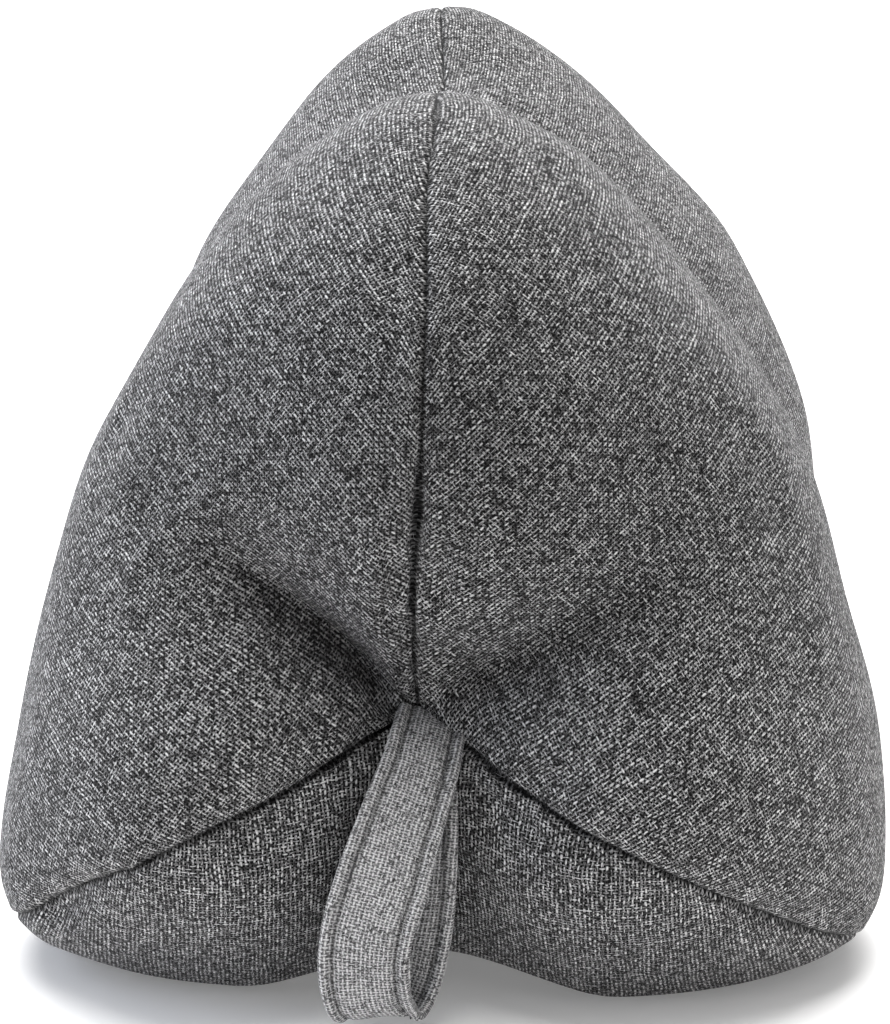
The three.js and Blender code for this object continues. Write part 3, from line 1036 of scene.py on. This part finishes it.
    def build(self) -> bpy.types.Object:
        """Builds the cover.

        Returns:
            The finished piece, dressed.
        """
        panels = self.panels(self.grid)
        points = self.joined(panels)
        points = points + self.resampled(self.wrinkles(self.settled()))
        normals = self.normals(points)
        distance = self.seam_distance(points)
        along = np.cumsum(np.linalg.norm(np.gradient(points, axis=0), axis=-1), axis=0)
        ends = np.minimum(1, np.minimum(along, along[-1] - along) / self.pole_reach)
        uneven = ripple(points[..., 0] / 62, points[..., 1] / 70 + points[..., 2] / 55, 0.7)
        lift = self.unevenness * uneven * ends
        column = np.arange(points.shape[1])[None, :] // self.grid.half_columns
        pucker = ripple(along / self.pucker_pitch / 2, column * 3.1 + distance / 40, 2.3)
        lift += self.pucker_height * pucker * np.exp(-distance / self.pucker_reach) * ends
        lift -= self.seam_depth * np.exp(-((distance / self.seam_width) ** 2)) * np.minimum(1, ends + 0.2)
        points = points + normals * lift[..., None]
        points = self.dented(points, normals)
        points[..., 2] = np.maximum(points[..., 2], 0)
        light = self.seam_light + (1 - self.seam_light) * smoothstep(distance, 0.0, 0.85)
        # At the two points where the seams meet the cloth is tucked in, so little light gets there.
        light *= 0.15 + 0.85 * smoothstep(np.minimum(along, along[-1] - along), 0.3, 3.0)
        light = self.grid.vertices(light[..., None])[:, 0]
        uv = self.corner_uv(self.flat_cloth())
        cover = make_mesh("cover", self.grid.vertices(points), self.grid.faces(), uv, light)
        cover.data.materials.append(self.cloth.material())
        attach(cover, "root")
        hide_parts("pillow_body")
        log.info("cover: %d faces", len(cover.data.polygons))
        return cover


@dataclass(frozen=True)
class RoutePoint:
    """A point on the tape's middle line, in millimetres, with the tape's attitude there in degrees.

    lean is the tilt of the tape's width in the picture plane, turn is how far its right edge goes back.
    """

    x: float
    y: float
    z: float
    lean: float
    turn: float


@dataclass
class HangingLoop:
    """The loop: a folded tape of the cover's cloth, topstitched along both edges. Millimetres."""

    width: float = 16.5
    thickness: float = 2.2
    root_width: float = 12.8  # where the tape is gathered in the seam
    gather_length: float = 42.0
    edge_radius: float = 1.0
    stitch_line: float = 2.6  # from the tape's edge
    stitch_pitch: float = 3.1
    stitch_depth: float = 0.75
    stitch_reach: float = 0.75  # how far from the line the cloth is drawn in
    hem_swell: float = 0.2
    inner_light: float = 0.75  # the share of light that reaches the cloth inside the loop
    steps: int = 260
    across: int = 44
    # The same cloth as the cover, but with lighter tones and lighter gaps: painted light, for the brighter
    # light on the tape's face.
    cloth: WovenCloth = field(
        default_factory=lambda: WovenCloth(
            "melange_tape_weave_painted_light",
            weft_pitch=0.58,
            warp_pitch=0.8,
            warp_tone=0.98,
            weft_tone=0.88,
            tone_spread=1.7,
            streak=1.4,
            gap_shade=0.2,
            wander=0.5,
            warp_crown=1.0,
        )
    )
    route: tuple[RoutePoint, ...] = (
        RoutePoint(-0.8, -133.5, 55, -20, 0),
        RoutePoint(-1.2, -139.6, 54.4, -20, 0),
        RoutePoint(-1.9, -144.6, 52.2, -20, 0),
        RoutePoint(-3.1, -148.8, 48.2, -19, -2),
        RoutePoint(-5, -153, 43.4, -20, -1),
        RoutePoint(-7.6, -157.4, 36.4, -19, -3),
        RoutePoint(-10, -160.8, 29, -17, -5),
        RoutePoint(-11.6, -162.5, 24.2, -13, -6),
        RoutePoint(-12.6, -163.2, 18.6, -7, -6),
        RoutePoint(-12.6, -162.6, 12.2, 0, -6),
        RoutePoint(-11.7, -160.6, 7.6, 5, -5),
        RoutePoint(-10.2, -157.2, 5.6, 6, -4),
        RoutePoint(-8.6, -153.9, 8.2, 0, -2),
        RoutePoint(-6.7, -152.2, 14, -9, 2),
        RoutePoint(-5.2, -152.1, 22, -8, 5),
        RoutePoint(-4.3, -151.9, 28.6, -7, 8),
        RoutePoint(-3.8, -150.9, 35.4, -8, 9),
        RoutePoint(-3.3, -148.1, 42, -12, 7),
        RoutePoint(-2.8, -144, 47.6, -18, 3),
        RoutePoint(-2.2, -138.8, 50.9, -20, 0),
        RoutePoint(-1.8, -133.5, 51.6, -20, 0),
    )

    def frames(self, shares: np.ndarray) -> tuple[np.ndarray, ...]:
        """Finds the tape's course and attitude.

        Args:
            shares: Places along the tape, from 0 to 1.

        Returns:
            Its middle, its width's direction, the direction out of its outer face, and the length so far.
        """
        table = np.array([[p.x, p.y, p.z, p.lean, p.turn] for p in self.route])
        fine = np.linspace(0, 1, 2001)
        line = spline(table, fine)
        steps = np.linalg.norm(np.diff(line[:, :3], axis=0), axis=1)
        length = np.concatenate([[0], np.cumsum(steps)])
        t = np.interp(shares * length[-1], length, fine)
        values = spline(table, t)
        ahead, behind = spline(table[:, :3], t + 1e-3), spline(table[:, :3], t - 1e-3)
        heading = unit(ahead - behind)
        lean, turn = np.radians(values[:, 3]), np.radians(values[:, 4])
        width = np.stack([np.cos(lean) * np.cos(turn), np.sin(turn), np.sin(lean)], axis=1)
        width = unit(width - heading * (width * heading).sum(axis=1, keepdims=True))
        return values[:, :3] + CENTRING, width, np.cross(heading, width), shares * length[-1]

    def half_widths(self, along: np.ndarray) -> np.ndarray:
        """Half the tape's width at places along it: it is gathered where it enters the seam."""
        gather = smoothstep(np.minimum(along, along[-1] - along), 0, self.gather_length)
        return (self.root_width + (self.width - self.root_width) * gather) / 2

    def half_thickness(self, from_edge: np.ndarray, along: np.ndarray) -> np.ndarray:
        """Half the tape's thickness: rounded at the edge, drawn in at the stitches, swollen between them.

        Args:
            from_edge: Distances from the tape's edge, in millimetres.
            along: Places along the tape.

        Returns:
            Half the thickness at each place.
        """
        rounded = np.sqrt(np.clip(1 - (1 - np.clip(from_edge / self.edge_radius, 0, 1)) ** 2, 0, 1))
        groove = self.stitch_depth * np.exp(-(((from_edge - self.stitch_line) / self.stitch_reach) ** 2))
        hem = self.hem_swell * np.exp(-(((from_edge - self.stitch_line * 0.45) / 0.8) ** 2))
        pull = 0.75 + 0.25 * np.cos(2 * math.pi * along / self.stitch_pitch)
        return (self.thickness / 2) * rounded - groove * pull + hem * rounded

    def build(self) -> bpy.types.Object:
        """Builds the tape.

        Returns:
            The finished piece, dressed.
        """
        shares = np.linspace(0, 1, self.steps)
        middle, width, outward, along = self.frames(shares)
        half = self.half_widths(along) + 0.14 * ripple(along / 21, along * 0, 1.3)
        step = np.linspace(-1, 1, self.across)
        place = np.sin(step * math.pi / 2) * 0.35 + step * 0.65
        rings, uvs, lights = [], [], []
        for face in (1, -1):
            order = place if face == 1 else -place
            x = half[:, None] * order[None, :]
            from_edge = half[:, None] - np.abs(x)
            thick = self.half_thickness(from_edge, along[:, None])
            swell = 0.16 * ripple(along[:, None] / 18, x / 14 + face, 4.1)
            height = face * (thick + swell * np.clip(from_edge / 2, 0, 1))
            rings.append(
                middle[:, None] + width[:, None] * x[..., None] + outward[:, None] * height[..., None]
            )
            uvs.append(np.stack([along[:, None] + 0 * x, x + 60 * face], axis=-1))
            light = 1 - 0.55 * np.exp(-(((from_edge - self.stitch_line) / 0.5) ** 2))
            if face == -1:
                light *= 1 - (1 - self.inner_light) * smoothstep(from_edge, 1.5, 2.6)
            lights.append(light[..., None])
        n = self.across
        ring = np.concatenate([rings[0], rings[1][:, 1:-1]], axis=1)
        count = ring.shape[1]
        faces, corners = [], []
        for i in range(self.steps - 1):
            for c in range(count):
                d = (c + 1) % count
                a, b = i * count, (i + 1) * count
                faces.append((a + c, a + d, b + d, b + c))
                side, j = (0, c) if c < n - 1 else (1, c - (n - 1))
                strip = uvs[side]
                corners += [strip[i, j], strip[i, j + 1], strip[i + 1, j + 1], strip[i + 1, j]]
        last = (self.steps - 1) * count
        faces += [tuple(range(count - 1, -1, -1)), tuple(range(last, last + count))]
        corners += [np.zeros(2)] * (2 * count)
        light = np.concatenate([lights[0], lights[1][:, 1:-1]], axis=1).ravel()
        loop = make_mesh("loop_tape", ring.reshape(-1, 3), faces, np.array(corners), light)
        loop.data.materials.append(self.cloth.material())
        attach(loop, "root")
        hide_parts("hang_loop")
        log.info("loop_tape: %d faces, %.0f mm long", len(loop.data.polygons), along[-1])
        return loop


@dataclass(frozen=True)
class LooseFibre:
    """Polyester staple ends that stand out of the yarn: fine and pale, they soften the pillow's outline."""

    name: str = "loose_fibre"
    colour: str = "#B2B2B4"
    roughness: float = 0.7

    def material(self) -> bpy.types.Material:
        """Builds the fibre's material, a little lighter on some than on others.

        Returns:
            The material.
        """
        made, tree = new_material(self.name)
        where = add_node(tree, "ShaderNodeTexCoord")
        noise = add_node(tree, "ShaderNodeTexNoise", in_Vector=where.outputs["Object"], in_Scale=400.0)
        shade = add_node(tree, "ShaderNodeMapRange", noise.outputs[0], 0.3, 0.7, 0.4, 1.2)
        colour = add_node(tree, "ShaderNodeVectorMath", srgb(self.colour)[:3], shade, operation="MULTIPLY")
        fibre = add_node(tree, "ShaderNodeBsdfPrincipled", in_Base_Color=colour, in_Roughness=self.roughness)
        add_node(tree, "ShaderNodeOutputMaterial", fibre)
        return made


@dataclass
class Fuzz:
    """The short fibre ends that stand out all over the cover. Millimetres."""

    fibre: LooseFibre = field(default_factory=LooseFibre)
    length: float = 1.5
    diameter: float = 0.05
    per_square_metre: float = 55000.0
    most_tilt: float = 0.7  # radians
    clear_of_floor: float = 4.0

    def tree(self, material: bpy.types.Material) -> bpy.types.NodeTree:
        """Builds the tree that scatters bent fibres over a surface, all leaning their own way.

        Args:
            material: The fibre's material.

        Returns:
            The node tree, with inputs Length, Diameter, Density and Lowest.
        """
        tree, given = new_geometry_tree("loose_fibres", ("Length", "Diameter", "Density", "Lowest"))
        height = add_node(tree, "ShaderNodeSeparateXYZ", add_node(tree, "GeometryNodeInputPosition"))
        clear = add_node(
            tree, "ShaderNodeMath", height.outputs["Z"], given.outputs["Lowest"], operation="GREATER_THAN"
        )
        spots = add_node(
            tree,
            "GeometryNodeDistributePointsOnFaces",
            given.outputs["Geometry"],
            in_Selection=clear,
            in_Density=given.outputs["Density"],
            in_Seed=7,
        )
        part = add_node(tree, "ShaderNodeMath", given.outputs["Length"], 0.6, operation="MULTIPLY")
        top = add_node(tree, "ShaderNodeCombineXYZ", given.outputs["Length"], 0.0, part)
        bend = add_node(tree, "ShaderNodeCombineXYZ", 0.0, 0.0, part)
        arc = add_node(tree, "GeometryNodeCurveQuadraticBezier", 3, (0.0, 0.0, 0.0), bend, top)
        radius = add_node(tree, "ShaderNodeMath", given.outputs["Diameter"], 0.5, operation="MULTIPLY")
        circle = add_node(tree, "GeometryNodeCurvePrimitiveCircle", 3, in_Radius=radius)
        fibre = add_node(tree, "GeometryNodeCurveToMesh", arc, circle, in_Fill_Caps=True)
        tilt = self.most_tilt
        lean = add_node(
            tree,
            "FunctionNodeRandomValue",
            (-tilt, -tilt, 0.0),
            (tilt, tilt, 6.28),
            data_type="FLOAT_VECTOR",
        )
        lean = add_node(tree, "FunctionNodeEulerToRotation", lean.outputs[0])
        turned = add_node(
            tree, "FunctionNodeRotateRotation", spots.outputs["Rotation"], lean, rotation_space="LOCAL"
        )
        size = add_node(tree, "FunctionNodeRandomValue", None, None, 0.3, 1.1, data_type="FLOAT")
        placed = add_node(
            tree,
            "GeometryNodeInstanceOnPoints",
            spots,
            in_Instance=fibre,
            in_Rotation=turned,
            in_Scale=size.outputs[1],
        )
        real = add_node(tree, "GeometryNodeRealizeInstances", placed)
        dressed = add_node(tree, "GeometryNodeSetMaterial", real, in_Material=material)
        add_node(tree, "NodeGroupOutput", dressed)
        return tree

    def build(self, cover: bpy.types.Object) -> bpy.types.Object:
        """Builds the fibres on the finished cover.

        Args:
            cover: The cover.

        Returns:
            One mesh with all of them, dressed.
        """
        base = bpy.data.objects.new("fibre_ground", cover.data.copy())
        bpy.context.collection.objects.link(base)
        material = self.fibre.material()
        tree = self.tree(material)
        sizes = {
            "Length": self.length * MM,
            "Diameter": self.diameter * MM,
            "Density": self.per_square_metre,
            "Lowest": self.clear_of_floor * MM,
        }
        piece = realized(base, tree, sizes, "loose_fibres", material)
        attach(piece, "root")
        log.info("fibres: %d faces", len(piece.data.polygons))
        return piece


@dataclass
class Topstitching:
    """The two rows of lockstitch along the tape's edges, on both of its faces. Millimetres."""

    loop: HangingLoop
    thread: SewingThread = field(default_factory=SewingThread)
    gap: float = 0.55  # from one stitch to the next
    diameter: float = 0.34
    bow: float = 0.17  # how far a stitch arches up and dips in
    from_root: float = 8.0  # the rows begin and end this far from the tape's ends

    def places(self) -> tuple[np.ndarray, np.ndarray, np.ndarray]:
        """Finds where each stitch lies.

        Returns:
            Each stitch's middle, its direction along the tape, and its direction out of the cloth.
        """
        _, _, _, whole = self.loop.frames(np.linspace(0, 1, 3))
        at = np.arange(self.from_root, whole[-1] - self.from_root, self.loop.stitch_pitch)
        middle, width, outward, _ = self.loop.frames(at / whole[-1])
        ahead, _, _, _ = self.loop.frames((at + 0.3) / whole[-1])
        heading = unit(ahead - middle)
        half = self.loop.half_widths(np.concatenate([at, whole[-1:]]))[:-1]
        half = np.minimum(half, self.loop.width / 2)
        lie = self.loop.half_thickness(np.array([self.loop.stitch_line]), np.zeros(1))[0] + 0.02
        made = []
        for face in (1, -1):
            for edge in (1, -1):
                x = edge * (half - self.loop.stitch_line)
                made.append((middle + width * x[:, None] + face * outward * lie, heading, face * outward))
        return tuple(np.concatenate([m[k] for m in made]) for k in range(3))

    def tree(self, material: bpy.types.Material) -> bpy.types.NodeTree:
        """Builds the tree that lays a stitch at each point.

        Args:
            material: The thread's material.

        Returns:
            The node tree, with inputs Stitch length, Thread diameter and Bow.
        """
        tree, given = new_geometry_tree("topstitching", ("Stitch length", "Thread diameter", "Bow"))
        half = add_node(tree, "ShaderNodeMath", given.outputs["Stitch length"], 0.5, operation="MULTIPLY")
        back = add_node(tree, "ShaderNodeMath", half, -1.0, operation="MULTIPLY")
        sunk = add_node(tree, "ShaderNodeMath", given.outputs["Bow"], -1.0, operation="MULTIPLY")
        start = add_node(tree, "ShaderNodeCombineXYZ", back, 0.0, sunk)
        end = add_node(tree, "ShaderNodeCombineXYZ", half, 0.0, sunk)
        top = add_node(tree, "ShaderNodeCombineXYZ", 0.0, 0.0, given.outputs["Bow"])
        arc = add_node(tree, "GeometryNodeCurveQuadraticBezier", 7, start, top, end)
        radius = add_node(tree, "ShaderNodeMath", given.outputs["Thread diameter"], 0.5, operation="MULTIPLY")
        circle = add_node(tree, "GeometryNodeCurvePrimitiveCircle", 7, in_Radius=radius)
        stitch = add_node(tree, "GeometryNodeCurveToMesh", arc, circle, in_Fill_Caps=True)
        along = add_node(tree, "GeometryNodeInputNamedAttribute", "along", data_type="FLOAT_VECTOR")
        out = add_node(tree, "GeometryNodeInputNamedAttribute", "out", data_type="FLOAT_VECTOR")
        lying = add_node(tree, "FunctionNodeAlignRotationToVector", in_Vector=out, axis="Z")
        aimed = add_node(
            tree, "FunctionNodeAlignRotationToVector", lying, in_Vector=along, axis="X", pivot_axis="Z"
        )
        placed = add_node(
            tree,
            "GeometryNodeInstanceOnPoints",
            given.outputs["Geometry"],
            in_Instance=stitch,
            in_Rotation=aimed,
        )
        real = add_node(tree, "GeometryNodeRealizeInstances", placed)
        dressed = add_node(tree, "GeometryNodeSetMaterial", real, in_Material=material)
        add_node(tree, "NodeGroupOutput", dressed)
        return tree

    def build(self) -> bpy.types.Object:
        """Builds the stitches.

        Returns:
            One mesh with all of them, dressed.
        """
        points, along, out = self.places()
        base = make_mesh("stitch_places", points, [])
        for name, values in (("along", along), ("out", out)):
            layer = base.data.attributes.new(name, "FLOAT_VECTOR", "POINT")
            layer.data.foreach_set("vector", values.astype(np.float32).ravel())
        material = self.thread.material()
        tree = self.tree(material)
        sizes = {
            "Stitch length": (self.loop.stitch_pitch - self.gap) * MM,
            "Thread diameter": self.diameter * MM,
            "Bow": self.bow * MM,
        }
        piece = realized(base, tree, sizes, "topstitching", material)
        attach(piece, "root")
        log.info("topstitching: %d stitches", len(points))
        return piece


def realized(
    base: bpy.types.Object, tree: bpy.types.NodeTree, sizes: dict, name: str, material: bpy.types.Material
) -> bpy.types.Object:
    """Runs a Geometry Nodes tree on an object and keeps the result as a plain mesh.

    Args:
        base: The object that the tree works on, which is removed.
        tree: The tree.
        sizes: A value for each of its named inputs.
        name: The finished piece's name.
        material: The finished piece's material.

    Returns:
        The finished piece.
    """
    modifier = base.modifiers.new("nodes", "NODES")
    modifier.node_group = tree
    for socket in tree.interface.items_tree:
        if socket.item_type == "SOCKET" and socket.in_out == "INPUT" and socket.name in sizes:
            modifier[socket.identifier] = sizes[socket.name]
    graph = bpy.context.evaluated_depsgraph_get()
    mesh = bpy.data.meshes.new_from_object(base.evaluated_get(graph), depsgraph=graph)
    mesh.name = name
    mesh.polygons.foreach_set("use_smooth", [True] * len(mesh.polygons))
    base.modifiers.remove(modifier)
    bpy.data.objects.remove(base)
    if not mesh.materials:
        mesh.materials.append(material)
    piece = bpy.data.objects.new(name, mesh)
    bpy.context.collection.objects.link(piece)
    return piece


@dataclass
class Studio:
    """The camera, the floor and the light: a lit white sheet under soft light from above and behind.

    The eye and the boards are in millimetres, the camera's angles in degrees, and the lights in metres.
    """

    focal_length: float = 119.45
    sensor: float = 36.0
    eye: tuple[float, float, float] = (22.712, -726.62, 232.581)
    pitch: float = 13.364
    yaw: float = -2.065
    roll: float = -0.541
    card_edge: float = -320.0  # a black card lies from here towards the camera, so the front stays darker
    room: float = 0.54  # how strongly the white room lights everything
    floor: StudioSheet = field(default_factory=StudioSheet)
    card: StudioSheet = field(default_factory=lambda: StudioSheet("black_flock", "#0A0A0A", 0.0))

    def camera(self) -> bpy.types.Object:
        """Places the camera where the photograph was taken from.

        Returns:
            The camera.
        """
        data = bpy.data.cameras.new("camera")
        data.lens, data.sensor_width = self.focal_length, self.sensor
        data.clip_start, data.clip_end = 0.05, 50
        data.dof.use_dof = False
        pitch, yaw, roll = (math.radians(v) for v in (self.pitch, self.yaw, self.roll))
        ahead = Vector((math.sin(yaw) * math.cos(pitch), math.cos(yaw) * math.cos(pitch), -math.sin(pitch)))
        right = Vector((math.cos(yaw), -math.sin(yaw), 0))
        up = right.cross(ahead)
        right, up = (
            right * math.cos(roll) + up * math.sin(roll),
            up * math.cos(roll) - right * math.sin(roll),
        )
        camera = bpy.data.objects.new("camera", data)
        bpy.context.collection.objects.link(camera)
        place = Vector((np.array(self.eye) + CENTRING) * MM)
        camera.matrix_world = Matrix.Translation(place) @ Matrix((right, up, -ahead)).transposed().to_4x4()
        bpy.context.scene.camera = camera
        return camera

    def board(
        self, name: str, corners: list[tuple[float, float, float]], finish: StudioSheet
    ) -> bpy.types.Object:
        """Puts up a flat board.

        Args:
            name: The board's name.
            corners: Its four corners, in millimetres.
            finish: What it is made of.

        Returns:
            The board.
        """
        board = make_mesh(name, np.array(corners, float), [(0, 1, 2, 3)])
        board.data.materials.append(finish.material())
        return board

    def light(self, name: str, place: tuple, aim: tuple, size: float, power: float, tint: str) -> None:
        """Adds a soft square light.

        Args:
            name: The light's name.
            place: Where it is, in metres.
            aim: The point that it faces.
            size: Its side, in metres.
            power: Its power, in watts.
            tint: Its colour.
        """
        data = bpy.data.lights.new(name, "AREA")
        data.size, data.energy, data.color = size, power, srgb(tint)[:3]
        lamp = bpy.data.objects.new(name, data)
        bpy.context.collection.objects.link(lamp)
        lamp.location = place
        lamp.rotation_mode = "QUATERNION"
        lamp.rotation_quaternion = (Vector(aim) - Vector(place)).to_track_quat("-Z", "Y")

    def build(self) -> None:
        """Builds the whole studio."""
        self.camera()
        edge = self.card_edge
        sheet = [(-5000, -5000, -0.15), (5000, -5000, -0.15), (5000, 5000, -0.15), (-5000, 5000, -0.15)]
        self.board("floor_sheet", sheet, self.floor)
        # Black cards take away light from the camera's side, and stay out of every picture.
        lying = [(-3000, -4000, -0.05), (3000, -4000, -0.05), (3000, edge, -0.05), (-3000, edge, -0.05)]
        standing = [(-1100, -1500, 0), (-1100, -1500, 1000), (1100, -1500, 1000), (1100, -1500, 0)]
        for name, corners in (("black_card", lying), ("black_flag", standing)):
            card = self.board(name, corners, self.card)
            card.visible_camera = card.visible_shadow = False
        world = bpy.data.worlds.new("white_room")
        world.use_nodes = True
        world.node_tree.nodes["Background"].inputs[0].default_value = srgb("#FBFBFC")
        world.node_tree.nodes["Background"].inputs[1].default_value = self.room
        bpy.context.scene.world = world
        bpy.context.scene.view_settings.view_transform = "Standard"
        middle = (0, -0.04, 0.07)
        self.light("overhead", (-0.1, 0.02, 1.7), middle, 1.3, 38, "#FFFFFF")
        self.light("backlight", (0.0, 1.7, 1.9), (0, 1.3, 0), 2.6, 85, "#FFFFFF")
        self.light("left_softbox", (-1.5, -0.1, 0.75), middle, 1.2, 8.5, "#D2E2FF")


def main() -> None:
    """Builds the pillow in order."""
    logging.basicConfig(level=logging.INFO, format="%(name)s: %(message)s")
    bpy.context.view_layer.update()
    studio = Studio()
    studio.build()
    cover = Cover().build()
    Fuzz().build(cover)
    loop = HangingLoop()
    tape = loop.build()
    stitches = Topstitching(loop).build()


if __name__ == "__main__":
    main()
